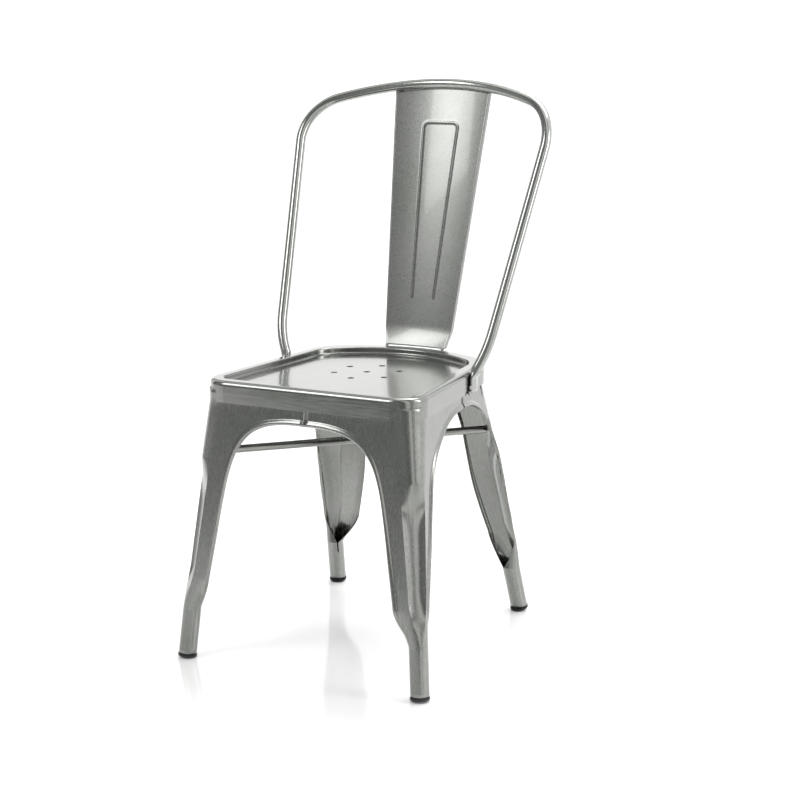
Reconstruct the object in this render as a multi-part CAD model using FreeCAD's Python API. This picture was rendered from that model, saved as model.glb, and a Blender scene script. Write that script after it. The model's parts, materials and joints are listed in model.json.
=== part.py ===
import FreeCAD
import Part
import math
import os

# A stacking side chair pressed and bent from steel sheet and tube. Millimetres, +Z up, the front of the
# chair faces -Y and +X is the right-hand side of someone looking at the front. Shapes are drawn about
# the middle of the wheelbase and moved by CENTRE_SHIFT, so the origin ends up on the floor under the
# middle of the whole chair.

V = FreeCAD.Vector

CENTRE_SHIFT = -35.7      # moves everything forwards, to centre the bounding box on the origin
SHEET = 1.2               # thickness of the pressed sheet
FIT = 0.1                 # play between two nested pressings
UP = V(0, 0, 1)

# Seat pan
SKIRT_BOTTOM = 396.0
RIM_TOP = 428.5
RECESS_FLOOR = 419.0
SEAT_FRONT = -179.5
SEAT_REAR = 179.5
SIDE_X = 182.0            # half width of the seat at its front edge, before the corner is rounded
SIDE_TAPER = 0.1          # how fast each side closes in towards the rear
REAR_RADIUS = 240.0       # of the bowed rear edge
FRONT_CORNER = 40.0
REAR_CORNER = 66.0
RIM_ROUND = 7.5
RECESS_FRONT = -159.0
RECESS_REAR = 155.0
RECESS_SIDE_X = 159.0
RECESS_TAPER = 0.1
RECESS_REAR_RADIUS = 190.0
RECESS_FRONT_CORNER = 18.0
RECESS_REAR_CORNER = 48.0
RECESS_ROUND = 3.0
DRAIN_RADIUS = 5.2
DRAIN_RING = 50.0
DRAIN_CENTRE_Y = 10.0

# Legs
LEG_TOP = 414.0
FRONT_FLARE = 0.1157      # forward lean of the front legs, per millimetre of height
FRONT_SPLAY = 0.0712      # sideways splay of the front legs
REAR_FLARE = 0.2545
REAR_SPLAY = 0.0885
REAR_SAG_FADE = 140.0     # the rear webs lose the bow of the seat's rear edge over this height
SIDE_SEAM_Y = 10.0        # where the front and rear legs' aprons meet at the side
CORNER_AT_SKIRT = 38.7    # from the sharp corner to where its rounding starts, at the skirt
CORNER_AT_FLUTE = 30.0
CORNER_AT_SHOULDER = 21.0
SIDE_REACH = 0.88         # the rounding reaches this much less far round onto the side web
REAR_SIDE_REACH = 0.6     # and less still at the rear legs' shoulders, where that web is narrow
FLUTE_TOP = 310.0
FLUTE_FULL = 275.0        # the groove has its full depth from here
FLUTE_THIN = 140.0        # down to here
FLUTE_END = 84.0
FLUTE_HOLLOW = 4.0        # how far the groove dips behind the line between its two rims
SHOULDER_TOP = 130.0      # the open section starts to close here
SHOULDER_END = 77.0       # and is a round tube from here down
SHOULDER_CURL = 1.6       # above 1, the shoulder is full at its top and meets the tube at an angle
TUBE_RADIUS = 14.0
CORNER_SHARE = 0.25       # the part of the tube's girth that comes from the rounded corner
CRIMP = 0.06              # the shoulder's sheet lies this much inside the webs' and the tube's faces
SLOT = 1.2                # half width of the slot where the tube's edges meet
SLOT_END = 60.0
FRONT_FOOT = (198.7, -208.9)
REAR_FOOT = (170.4, 208.9)

# Rubber feet
PLUG_RADIUS = 14.4
PLUG_FLANGE = 4.5
PLUG_ROUND = 1.8
PLUG_STUB = 14.0
PLUG_SINK = 0.5           # how much of the sole's lowest edge is flattened by the floor

# Arches under the aprons
ARCH_CROWN = 373.0
SIDE_CROWN = 376.0

# Back hoop
TUBE = 8.0                # outer radius of the hoop's tube
TUBE_WALL = 1.5
CROWN_Z = 842.0           # centre line at the top
CROWN_RADIUS = 640.0
SHOULDER_RADIUS = 62.0
SIDE_AT_500 = 185.8       # half width of the hoop at 500 mm
SIDE_SLOPE = 0.116
LEAN = 0.502              # the hoop leans back by this much per millimetre of height
ROLL_RADIUS = 450.0       # and is rolled, so its sides come forwards
HOOP_Y0 = -136.5
TUCK_START = 486.0        # below this the hoop's sides turn in towards the seat
TUCK_RADIUS = 160.0
TUCK_ANGLE = math.radians(28)
HOOP_FLAT = 4.0           # half thickness of its flattened ends
HOOP_FLAT_WIDE = 11.0
HOOP_END_Z = 397.0
HOOP_STATIONS = 84
OVAL_POINTS = 16

# Back splat
SPLAT_HALF_500 = 61.7
SPLAT_GROW = 0.0675
SPLAT_Y_500 = 194.6
SPLAT_LEAN = 0.247
SPLAT_RADIUS = 380.0
SPLAT_RETURN = 9.0
SPLAT_FOOT_Z = 430.0
SPLAT_FOOT_RISE = 32.0
SPLAT_FOOT_REACH = 6.0
SPLAT_FOOT_HALF = 53.0
RIB_WIDTH = 4.6
RIB_RISE = 1.2
RIB_TOP_Z = 781.0
RIB_TOP_HALF = 30.8
RIB_END_Z = 507.0
RIB_END_HALF = 19.4
RIB_CORNER = 9.0

# Crossed braces under the seat
BRACE_Z = 317.0
BRACE_RADIUS = 6.0
BRACE_WALL = 1.2
BRACE_INSET = 15.2
BRACE_UPPER_Z = BRACE_Z + 2 * BRACE_RADIUS + FIT


def mirrored(shape):
    return shape.mirror(V(0, 0, 0), V(1, 0, 0))


def save(name, shape):
    moved = shape.copy()
    moved.translate(V(0, CENTRE_SHIFT, 0))
    moved.exportStep("parts/" + name + ".step")


def blend(a, b, t):
    return a + (b - a) * t


def smooth(t):
    t = max(0.0, min(1.0, t))
    return t * t * (3 - 2 * t)


def spline(points):
    curve = Part.BSplineCurve()
    curve.interpolate(points)
    return curve.toShape()


def arc(a, middle, b):
    return Part.Arc(a, middle, b).toShape()


# ---------------------------------------------------------------- seat pan

def side_x(y):
    return SIDE_X - SIDE_TAPER * (y - SEAT_FRONT)


def rear_y(x, rear, radius):
    return rear - radius + math.sqrt(radius * radius - x * x)


def plan_block(front, rear, half, taper, radius, front_corner, rear_corner, low, high):
    """An upright block with the seat's plan shape: straight front, tapering sides, bowed rear."""
    y = 0
    for _ in range(60):
        x = half - taper * (y - front)
        y = blend(y, rear_y(x, rear, radius), 0.5)
    corner = V(x, y, low)
    edges = [
        Part.makeLine(V(-half, front, low), V(half, front, low)),
        Part.makeLine(V(half, front, low), corner),
        arc(corner, V(0, rear, low), V(-x, y, low)),
        Part.makeLine(V(-x, y, low), V(-half, front, low)),
    ]
    block = Part.Face(Part.Wire(edges)).extrude(V(0, 0, high - low))
    uprights = [e for e in block.Edges if abs(e.tangentAt(e.FirstParameter).z) > 0.9]
    fronts = [e for e in uprights if e.CenterOfMass.y < 0]
    block = block.makeFillet(front_corner, fronts)
    rears = [e for e in block.Edges if abs(e.tangentAt(e.FirstParameter).z) > 0.9
             and abs(abs(e.CenterOfMass.x) - x) < 0.5 and abs(e.CenterOfMass.y - y) < 0.5]
    return block.makeFillet(rear_corner, rears)


def rounded_edge(block, z, radius):
    return block.makeFillet(radius, [e for e in block.Edges if abs(e.BoundBox.ZMin - z) < 0.01
                                     and abs(e.BoundBox.ZMax - z) < 0.01])


def seat_block(inset, low, high):
    block = plan_block(SEAT_FRONT + inset, SEAT_REAR - inset, SIDE_X - inset * (1 + SIDE_TAPER), SIDE_TAPER,
                       REAR_RADIUS - inset, FRONT_CORNER - inset, REAR_CORNER - inset, low, high)
    return rounded_edge(block, high, RIM_ROUND - inset)


def recess_block(grow, low, high):
    block = plan_block(RECESS_FRONT - grow, RECESS_REAR + grow, RECESS_SIDE_X + grow, RECESS_TAPER,
                       RECESS_REAR_RADIUS + grow, RECESS_FRONT_CORNER + grow, RECESS_REAR_CORNER + grow,
                       low, high)
    return rounded_edge(block, low, RECESS_ROUND + grow)


def drain_holes():
    holes = [V(0, DRAIN_CENTRE_Y, 0)]
    for k in range(6):
        angle = math.radians(30 + 60 * k)
        holes.append(V(DRAIN_RING * math.cos(angle), DRAIN_CENTRE_Y + DRAIN_RING * math.sin(angle), 0))
    return [Part.makeCylinder(DRAIN_RADIUS, 20, p + V(0, 0, RECESS_FLOOR - 10)) for p in holes]


def seat_pan():
    outer = seat_block(0, SKIRT_BOTTOM, RIM_TOP).cut(recess_block(0, RECESS_FLOOR, RIM_TOP + 10))
    edge = [e for e in outer.Edges if abs(e.BoundBox.ZMin - RIM_TOP) < 0.01
            and abs(e.BoundBox.ZMax - RIM_TOP) < 0.01 and e.BoundBox.YMin > RECESS_FRONT - 2
            and e.BoundBox.YMax < RECESS_REAR + 2]
    outer = outer.makeFillet(RECESS_ROUND, edge)
    inner = seat_block(SHEET, SKIRT_BOTTOM - 5, RIM_TOP - SHEET)
    inner = inner.cut(recess_block(SHEET, RECESS_FLOOR - SHEET, RIM_TOP + 10))
    pan = outer.cut(inner)
    for hole in drain_holes():
        pan = pan.cut(hole)
    return pan


# ---------------------------------------------------------------- legs

INSET = SHEET + FIT


def drop(z):
    """How far a height lies under the skirt."""
    return max(0.0, SKIRT_BOTTOM - z)


def front_corner(z):
    """The sharp corner of a front leg's outside, before rounding."""
    h = drop(z)
    y = SEAT_FRONT + INSET - FRONT_FLARE * h
    return V(side_x(y) - INSET + FRONT_SPLAY * h, y, z)


def rear_corner_top():
    y = 0
    for _ in range(60):
        x = side_x(y) - INSET
        y = blend(y, rear_y(x, SEAT_REAR - INSET, REAR_RADIUS - INSET), 0.5)
    return x, y


REAR_X, REAR_Y = rear_corner_top()
REAR_SAG = SEAT_REAR - INSET - REAR_Y


def rear_corner(z):
    h = drop(z)
    return V(REAR_X + REAR_SPLAY * h, REAR_Y + REAR_FLARE * h, z)


def side_seam(corner, z):
    """The point of a leg's side web at the seam, in line with the tapering side of the seat."""
    return V(corner.x - SIDE_TAPER * (SIDE_SEAM_Y - corner.y), SIDE_SEAM_Y, z)


def end_seam(corner, z, rear):
    if rear:
        return V(0, corner.y + REAR_SAG * math.exp(-drop(z) / REAR_SAG_FADE), z)
    return V(0, corner.y, z)


def along(a, b, distance):
    return a + (b - a).normalize() * distance


def web_arc(corner, seam, distance):
    """A point on the bowed rear web: an arc through the corner, its mirror image and the seam."""
    sag = seam.y - corner.y
    radius = (corner.x ** 2 + sag ** 2) / (2 * sag)
    start = math.asin(corner.x / radius)
    angle = start - distance / radius
    return V(radius * math.sin(angle), seam.y - radius + radius * math.cos(angle), corner.z)


def end_web(corner, seam, rear, distance):
    if rear:
        return web_arc(corner, seam, distance)
    return along(corner, seam, distance)


def corner_reach(z):
    """From the sharp corner to where its rounding starts."""
    if z > FLUTE_TOP:
        share = (min(z, SKIRT_BOTTOM) - FLUTE_TOP) / (SKIRT_BOTTOM - FLUTE_TOP)
        return blend(CORNER_AT_FLUTE, CORNER_AT_SKIRT, share)
    share = (z - SHOULDER_TOP) / (FLUTE_TOP - SHOULDER_TOP)
    return blend(CORNER_AT_SHOULDER, CORNER_AT_FLUTE, share)


def side_reach(z, rear):
    share = min(1.0, drop(z) / (SKIRT_BOTTOM - SHOULDER_TOP))
    factor = blend(SIDE_REACH, REAR_SIDE_REACH, share) if rear else SIDE_REACH
    return factor * corner_reach(z)


def flute_share(z):
    """0 where the corner is plain and round, 1 where the groove has its full depth."""
    if z > FLUTE_FULL:
        return smooth((FLUTE_TOP - z) / (FLUTE_TOP - FLUTE_FULL))
    return smooth((z - FLUTE_END) / (FLUTE_THIN - FLUTE_END))


def corner_curve(a, corner, b, share, t):
    """A point on the rounded corner from a to b, pushed in where the groove runs."""
    w = math.sqrt(0.5)
    k0, k1, k2 = (1 - t) ** 2, 2 * w * t * (1 - t), t * t
    convex = (a * k0 + corner * k1 + b * k2) * (1 / (k0 + k1 + k2))
    inward = ((a + b) * 0.5 - corner).normalize()
    hollow = a * (1 - t) + b * t + inward * (4 * FLUTE_HOLLOW * t * (1 - t))
    return convex * (1 - share) + hollow * share


def offset_curve(points, distance):
    """The same run of points moved sideways, to the left of its direction of travel."""
    result = []
    for i, p in enumerate(points):
        d = points[min(i + 1, len(points) - 1)] - points[max(i - 1, 0)]
        n = V(-d.y, d.x, 0).normalize()
        result.append(p + n * distance)
    return result


def leg_outline(z, rear):
    """Outer points of an apron section: the end web from its seam, the corner, the side web to its seam."""
    corner = rear_corner(z) if rear else front_corner(z)
    seam = end_seam(corner, z, rear)
    side = side_seam(corner, z)
    reach = corner_reach(z)
    a = end_web(corner, seam, rear, reach)
    b = along(corner, side, side_reach(z, rear))
    if rear:
        sag = seam.y - corner.y
        radius = (corner.x ** 2 + sag ** 2) / (2 * sag)
        half_arc = radius * math.asin(corner.x / radius)
        end = [web_arc(corner, seam, blend(half_arc, reach, k / 4)) for k in range(5)]
    else:
        end = [seam, a]
    bend = [corner_curve(a, corner, b, flute_share(z), k / 8) for k in range(9)]
    return end, bend, [b, side]


def web_wire(end, bend, side, inward):
    """The closed section of the sheet: outside points, then the inside ones, one thickness further in."""
    runs = [end, bend, side]
    inner = []
    for run in runs:
        inner.append(offset_curve(run, inward))
    inner[0][0].x = end[0].x
    for first, second in ((0, 1), (1, 2)):
        joint = (inner[first][-1] + inner[second][0]) * 0.5
        inner[first][-1] = joint
        inner[second][0] = joint
    edges = []
    for run in runs:
        edges.append(spline(run) if len(run) > 2 else Part.makeLine(run[0], run[1]))
    edges.append(Part.makeLine(side[-1], inner[2][-1]))
    for run in reversed(inner):
        back = list(reversed(run))
        edges.append(spline(back) if len(back) > 2 else Part.makeLine(back[0], back[1]))
    edges.append(Part.makeLine(inner[0][0], end[0]))
    return Part.Wire(edges)


def arch_edge(rear):
    """Half of the arch under an end apron, from its crown at the middle to the leg's shoulder: x, z."""
    if rear:
        return [V(0, 0, ARCH_CROWN), V(25, 0, ARCH_CROWN - 1), V(52, 0, 362), V(72, 0, 341), V(84, 0, 312),
                V(90, 0, 275), V(98, 0, 216), V(107, 0, 175), V(119, 0, SHOULDER_TOP)]
    return [V(0, 0, ARCH_CROWN), V(38, 0, ARCH_CROWN - 1), V(68, 0, 366), V(93, 0, 352.5), V(112, 0, 329),
            V(125, 0, 296), V(135, 0, 249), V(145, 0, 188), V(155, 0, SHOULDER_TOP)]


def side_edge(rear):
    """Half of the side arch, from its crown at the seam to the leg's shoulder: y, z."""
    if rear:
        return [V(0, SIDE_SEAM_Y, SIDE_CROWN), V(0, 42, SIDE_CROWN - 2), V(0, 75, 362), V(0, 100, 340),
                V(0, 121, 310), V(0, 136, 277), V(0, 151, 216), V(0, 161, 175), V(0, 173.5, SHOULDER_TOP)]
    return [V(0, SIDE_SEAM_Y, SIDE_CROWN), V(0, -34, SIDE_CROWN - 3), V(0, -62, 365), V(0, -88, 350),
            V(0, -112, 331), V(0, -131, 305), V(0, -144, 265), V(0, -158, 210), V(0, -170, 170),
            V(0, -181.5, SHOULDER_TOP)]


def arch_cutter(points, low, direction, depth, middle):
    """A prism with the arch's outline, long enough to pass through one web only."""
    curve = Part.BSplineCurve()
    first = V(0, 1, 0) * (points[1].y - points[0].y) + V(1, 0, 0) * (points[1].x - points[0].x)
    curve.interpolate(Points=points, InitialTangent=first, FinalTangent=(points[-1] - points[-2]))
    last = points[-1]
    corner_low = V(last.x, last.y, low)
    middle_low = V(middle.x, middle.y, low)
    middle_high = V(middle.x, middle.y, points[0].z)
    edges = [curve.toShape(), Part.makeLine(last, corner_low), Part.makeLine(corner_low, middle_low),
             Part.makeLine(middle_low, middle_high), Part.makeLine(middle_high, points[0])]
    return Part.Face(Part.Wire(edges)).extrude(direction * depth)


def apron(rear):
    """The upper part of a leg: two webs and the corner, from the skirt down to the shoulder."""
    heights = [LEG_TOP, SKIRT_BOTTOM, 350, FLUTE_TOP, 292, FLUTE_FULL, 225, 180, FLUTE_THIN, SHOULDER_TOP]
    wires = []
    for z in heights:
        end, bend, side = leg_outline(z, rear)
        wires.append(web_wire(end, bend, side, -SHEET if rear else SHEET))
    body = Part.makeLoft(wires, True, True)
    sign = 1 if rear else -1
    end_arch = [V(p.x, sign * 110, p.z) for p in arch_edge(rear)]
    body = body.cut(arch_cutter(end_arch, SHOULDER_TOP - 10, V(0, sign, 0), 160, V(-10, sign * 110, 0)))
    side_arch = [V(100, p.y, p.z) for p in side_edge(rear)]
    beyond = V(100, SIDE_SEAM_Y - sign * 10, 0)
    return body.cut(arch_cutter(side_arch, SHOULDER_TOP - 10, V(1, 0, 0), 140, beyond))


def foot_centre(z, rear):
    """The middle of the tube at a height: it runs parallel to the leg's corner."""
    x, y = REAR_FOOT if rear else FRONT_FOOT
    step = (rear_corner(100) - rear_corner(0)) if rear else (front_corner(100) - front_corner(0))
    return V(x + step.x * z / 100, y + step.y * z / 100, z)


def round_point(z, rear, radius, t):
    """t runs 0 to 1 around the tube, from the slot past the end web's side, the corner and the side."""
    centre = foot_centre(z, rear)
    gap = (SLOT + CRIMP) / radius
    turn = blend(gap, 2 * math.pi - gap, t)
    if rear:
        angle = math.radians(225) - turn
    else:
        angle = math.radians(135) + turn
    return centre + V(math.cos(angle), math.sin(angle), 0) * radius


def shoulder_points(z, rear):
    """Outer points of a section between the open webs and the round tube."""
    corner = rear_corner(z) if rear else front_corner(z)
    seam = end_seam(corner, z, rear)
    side = side_seam(corner, z)
    reach = corner_reach(SHOULDER_TOP)
    side_start = side_reach(SHOULDER_TOP, rear)
    end_edge = arch_edge(rear)[-1].x
    side_end = side_edge(rear)[-1].y
    top = rear_corner(SHOULDER_TOP) if rear else front_corner(SHOULDER_TOP)
    end_length = top.x - end_edge - 2 * CRIMP
    side_length = abs(top.y - side_end) - 2 * CRIMP
    a = end_web(corner, seam, rear, reach)
    b = along(corner, side, side_start)
    closed = ((SHOULDER_TOP - z) / (SHOULDER_TOP - SHOULDER_END)) ** SHOULDER_CURL
    count = 7
    points = []
    for k in range(count):
        t = k / (count - 1)
        points.append(end_web(corner, seam, rear, blend(end_length, reach, t)))
    for k in range(1, 9):
        points.append(corner_curve(a, corner, b, flute_share(z), k / 8))
    for k in range(1, count):
        t = k / (count - 1)
        points.append(along(corner, side, blend(side_start, side_length, t)))
    web_share = (1 - CORNER_SHARE) / 2
    shares = [web_share * k / (count - 1) for k in range(count)]
    shares += [web_share + CORNER_SHARE * k / 8 for k in range(1, 9)]
    shares += [1 - web_share + web_share * k / (count - 1) for k in range(1, count)]
    ring = [round_point(z, rear, TUBE_RADIUS, share) for share in shares]
    return [p * (1 - closed) + q * closed for p, q in zip(points, ring)]


def shoulder(rear):
    """The stretch where the webs curl in and close into the tube."""
    wires = []
    steps = 7
    for k in range(steps + 1):
        z = blend(SHOULDER_TOP, SHOULDER_END, k / steps)
        points = shoulder_points(z, rear)
        inward = -1 if rear else 1
        outside = offset_curve(points, inward * CRIMP)
        inside = offset_curve(points, inward * (SHEET - CRIMP))
        edges = [spline(outside), Part.makeLine(outside[-1], inside[-1]), spline(list(reversed(inside))),
                 Part.makeLine(inside[0], outside[0])]
        wires.append(Part.Wire(edges))
    return Part.makeLoft(wires, True, True)


def ring_wire(z, rear, radius):
    return Part.Wire(Part.makeCircle(radius, foot_centre(z, rear), UP))


def foot_axis(rear):
    return (foot_centre(0, rear) - foot_centre(100, rear)).normalize()


def sole_centre(rear):
    """The middle of the tilted sole, placed so that its lowest edge is just under the floor."""
    axis = foot_axis(rear)
    tilt = math.acos(-axis.z)
    height = (PLUG_RADIUS - PLUG_ROUND) * math.sin(tilt) + PLUG_ROUND * (1 - math.cos(tilt)) - PLUG_SINK
    return foot_centre(height, rear)


def foot_tube(rear):
    low = -20.0               # the tube is drawn past the floor, then trimmed to the plug
    rings = [ring_wire(SHOULDER_END, rear, TUBE_RADIUS), ring_wire(low, rear, TUBE_RADIUS)]
    tube = Part.makeLoft(rings, True, True)
    bore = Part.makeLoft([ring_wire(SHOULDER_END + 1, rear, TUBE_RADIUS - SHEET),
                          ring_wire(low - 1, rear, TUBE_RADIUS - SHEET)], True, True)
    tube = tube.cut(bore)
    axis = foot_axis(rear)
    centre = foot_centre(SHOULDER_END, rear)
    inward = V(-1, -1 if rear else 1, 0).normalize()
    across = V(-inward.y, inward.x, 0)
    slot = Part.makeBox(40, 2 * SLOT, SHOULDER_END - SLOT_END + 10)
    slot.Placement = FreeCAD.Placement(V(0, 0, 0), FreeCAD.Rotation(inward, across, UP, "XYZ"))
    slot.translate(centre - across * SLOT - UP * (SHOULDER_END - SLOT_END))
    tube = tube.cut(slot)
    below = Part.makeCylinder(60, 80, sole_centre(rear) - axis * PLUG_FLANGE, axis)
    return tube.cut(below)


def leg(rear):
    joined = apron(rear).fuse(shoulder(rear)).fuse(foot_tube(rear)).removeSplitter()
    return max(joined.Solids, key=lambda solid: solid.Volume)


def foot_plug(rear):
    """A rubber plug: a stub inside the tube and a flange under it, flattened where it meets the floor."""
    axis = foot_axis(rear)
    sole = sole_centre(rear)
    flange = Part.makeCylinder(PLUG_RADIUS, PLUG_FLANGE, sole, axis * -1)
    low_edge = [e for e in flange.Edges if e.Length > 6 * PLUG_RADIUS and (e.CenterOfMass - sole).Length < 0.1]
    flange = flange.makeFillet(PLUG_ROUND, low_edge)
    stub = Part.makeCylinder(TUBE_RADIUS - SHEET - 0.4, PLUG_STUB, sole - axis * (PLUG_FLANGE - 1), axis * -1)
    plug = flange.fuse(stub)
    return plug.cut(Part.makeBox(600, 600, 50, V(-300, -300, -50)))


# ---------------------------------------------------------------- back hoop

def hoop_y(x, z):
    """The hoop lies on a surface that leans back and is rolled about an upright axis."""
    return HOOP_Y0 + LEAN * z - x * x / (2 * ROLL_RADIUS)


def hoop_corner():
    """Centre of the shoulder arc, tangent to the straight side and, from inside, to the crown."""
    norm = math.hypot(1, SIDE_SLOPE)
    crown_centre = CROWN_Z - CROWN_RADIUS
    low, high = 600.0, CROWN_Z
    for _ in range(60):
        z = (low + high) / 2
        x_line = SIDE_AT_500 + SIDE_SLOPE * (z - 500)
        cx = x_line - SHOULDER_RADIUS / norm
        cz = z + SHOULDER_RADIUS * SIDE_SLOPE / norm
        if math.hypot(cx, cz - crown_centre) < CROWN_RADIUS - SHOULDER_RADIUS:
            low = z
        else:
            high = z
    return cx, cz, z


def hoop_outline():
    """Half of the hoop's centre line as x, z pairs, from the top of the crown to the bent lower end."""
    cx, cz, side_top = hoop_corner()
    crown_centre = CROWN_Z - CROWN_RADIUS
    join = math.atan2(cx, cz - crown_centre)
    half = [(CROWN_RADIUS * math.sin(join * k / 5), crown_centre + CROWN_RADIUS * math.cos(join * k / 5))
            for k in range(6)]
    turn_end = math.pi / 2 + math.atan(SIDE_SLOPE)
    for k in range(1, 6):
        angle = blend(join, turn_end, k / 5)
        half.append((cx + SHOULDER_RADIUS * math.sin(angle), cz + SHOULDER_RADIUS * math.cos(angle)))
    side = [(SIDE_AT_500 + SIDE_SLOPE * (z - 500), z) for z in range(730, 500, -35)]
    slope = math.atan(SIDE_SLOPE)
    x, z = SIDE_AT_500 + SIDE_SLOPE * (TUCK_START - 500), TUCK_START
    tuck = []
    for k in range(4):
        angle = blend(slope, TUCK_ANGLE, k / 3)
        tuck.append((x - TUCK_RADIUS * (math.cos(slope) - math.cos(angle)),
                     z - TUCK_RADIUS * (math.sin(angle) - math.sin(slope))))
    return half + side + tuck


HOOP_BOTTOM = hoop_outline()[-1]


def hoop_path():
    half = [V(x, hoop_y(x, z), z) for x, z in hoop_outline()]
    other = [V(-p.x, p.y, p.z) for p in reversed(half[1:])]
    return other + half


def oval(centre, direction, thin, wide):
    """A closed oval across the tube: thin across the chair, wide front to back."""
    direction = V(direction).normalize()
    wide_axis = V(0, 1, 0)
    wide_axis = (wide_axis - direction * wide_axis.dot(direction)).normalize()
    thin_axis = wide_axis.cross(direction)
    points = []
    for k in range(OVAL_POINTS):
        angle = 2 * math.pi * k / OVAL_POINTS
        points.append(centre + thin_axis * (thin * math.cos(angle)) + wide_axis * (wide * math.sin(angle)))
    curve = Part.BSplineCurve()
    curve.interpolate(Points=points, PeriodicFlag=True)
    return Part.Wire(curve.toShape())


def hoop_stations():
    """Where the tube's section is set: centre, direction, half thickness and half width."""
    path = hoop_path()
    line = spline(path)
    last = line.LastParameter
    stations = []
    for k in range(HOOP_STATIONS + 1):
        u = line.getParameterByLength(line.Length * k / HOOP_STATIONS)
        stations.append((line.valueAt(u), line.tangentAt(u), TUBE, TUBE))
    end = path[-1]
    arrive = line.tangentAt(last)
    y = end.y - 1.5
    flat_x = side_x(y) + HOOP_FLAT + FIT
    down = V(0, 0, -1)
    ends = [
        (V(blend(end.x, flat_x, 0.5), end.y - 2.0, end.z - 6), V(0.15, -0.1, -1) + arrive * 0.3, 6.5, 9.3),
        (V(flat_x, y, end.z - 14), down, HOOP_FLAT, HOOP_FLAT_WIDE),
        (V(flat_x, y, HOOP_END_Z), down, HOOP_FLAT, HOOP_FLAT_WIDE),
    ]
    starts = [(V(-p.x, p.y, p.z), V(d.x, -d.y, -d.z), thin, wide) for p, d, thin, wide in reversed(ends)]
    return starts + stations + ends


def back_hoop():
    """One bent tube: an outer and an inner skin, joined by a ring at each flattened end."""
    stations = hoop_stations()
    sides = []
    caps = []
    for shrink in (0, TUBE_WALL):
        wires = [oval(p, d, thin - shrink, wide - shrink) for p, d, thin, wide in stations]
        skin = Part.makeLoft(wires, True, True)
        ends = [f for f in skin.Faces if f.BoundBox.ZLength < 0.01]
        sides += [f for f in skin.Faces if f.BoundBox.ZLength >= 0.01]
        caps.append(ends)
    rings = []
    for cap in caps[0]:
        mouth = min(caps[1], key=lambda f: (f.CenterOfMass - cap.CenterOfMass).Length)
        rings += cap.cut(mouth).Faces
    shell = Part.makeShell(sides + rings)
    shell.sewShape(0.001)
    return Part.makeSolid(Part.Shell(shell.Faces))


# ---------------------------------------------------------------- back splat

def splat_half(z):
    if z < SPLAT_FOOT_Z + SPLAT_FOOT_RISE:
        top = SPLAT_HALF_500 + SPLAT_GROW * (SPLAT_FOOT_Z + SPLAT_FOOT_RISE - 500)
        return blend(SPLAT_FOOT_HALF, top, smooth((z - SPLAT_FOOT_Z) / SPLAT_FOOT_RISE))
    return SPLAT_HALF_500 + SPLAT_GROW * (z - 500)


def splat_y(x, z):
    """The dished face of the splat, which curls forwards at its foot onto the seat's rim."""
    half = SPLAT_HALF_500 + SPLAT_GROW * (z - 500)
    curl = max(0.0, (SPLAT_FOOT_Z + SPLAT_FOOT_RISE - z) / SPLAT_FOOT_RISE)
    return (SPLAT_Y_500 + SPLAT_LEAN * (z - 500) + (half * half - x * x) / (2 * SPLAT_RADIUS)
            - SPLAT_FOOT_REACH * curl * curl)


def splat_wire(z):
    half = splat_half(z)
    y_edge = splat_y(half, z)
    back = splat_y(0, z) + SHEET
    tip = y_edge + SPLAT_RETURN
    inner = half - SHEET
    y_in = splat_y(inner, z) + SHEET
    front = arc(V(-half, y_edge, z), V(0, splat_y(0, z), z), V(half, y_edge, z))
    rear = arc(V(inner, y_in, z), V(0, back, z), V(-inner, y_in, z))
    return Part.Wire([
        front,
        Part.makeLine(V(half, y_edge, z), V(half, tip, z)),
        Part.makeLine(V(half, tip, z), V(inner, tip, z)),
        Part.makeLine(V(inner, tip, z), V(inner, y_in, z)),
        rear,
        Part.makeLine(V(-inner, y_in, z), V(-inner, tip, z)),
        Part.makeLine(V(-inner, tip, z), V(-half, tip, z)),
        Part.makeLine(V(-half, tip, z), V(-half, y_edge, z)),
    ])


def rib_outline(grow, low):
    """The outer or inner edge of the rib, seen from the front: a tall shape with a rounded top."""
    lean = (RIB_TOP_HALF - RIB_END_HALF) / (RIB_TOP_Z - RIB_END_Z)
    top = RIB_TOP_Z + grow
    radius = RIB_CORNER + grow
    shoulder = top - radius
    x_low = RIB_END_HALF + lean * (low - RIB_END_Z) + grow
    x_high = RIB_END_HALF + lean * (shoulder - RIB_END_Z) + grow
    bend = radius * math.sqrt(0.5)
    right = arc(V(x_high, 0, shoulder), V(x_high - radius + bend, 0, shoulder + bend), V(x_high - radius, 0, top))
    left = arc(V(radius - x_high, 0, top), V(radius - bend - x_high, 0, shoulder + bend), V(-x_high, 0, shoulder))
    wire = Part.Wire([
        Part.makeLine(V(-x_low, 0, low), V(x_low, 0, low)),
        Part.makeLine(V(x_low, 0, low), V(x_high, 0, shoulder)),
        right,
        Part.makeLine(V(x_high - radius, 0, top), V(radius - x_high, 0, top)),
        left,
        Part.makeLine(V(-x_high, 0, shoulder), V(-x_low, 0, low)),
    ])
    return Part.Face(wire).extrude(V(0, 500, 0))


def plate_wire(z, front, back):
    """A section of a plate that follows the splat's face, between two depths."""
    half = 45.0
    points = []
    for side, depth in ((1, front), (-1, back)):
        points.append([V(side * x, splat_y(x, z) + depth, z) for x in (-half, 0, half)])
    (a, m, b), (c, n, d) = points
    return Part.Wire([arc(a, m, b), Part.makeLine(b, c), arc(c, n, d), Part.makeLine(d, a)])


def rib():
    """The rib pressed out of the splat's face, an upside-down U that is open at its foot."""
    band = rib_outline(RIB_WIDTH / 2, RIB_END_Z).cut(rib_outline(-RIB_WIDTH / 2, RIB_END_Z - 5))
    wires = [plate_wire(z, -RIB_RISE, SHEET / 2) for z in (RIB_END_Z - 10, RIB_TOP_Z + 10)]
    plate = Part.makeLoft(wires, True, True)
    return plate.common(band)


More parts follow.
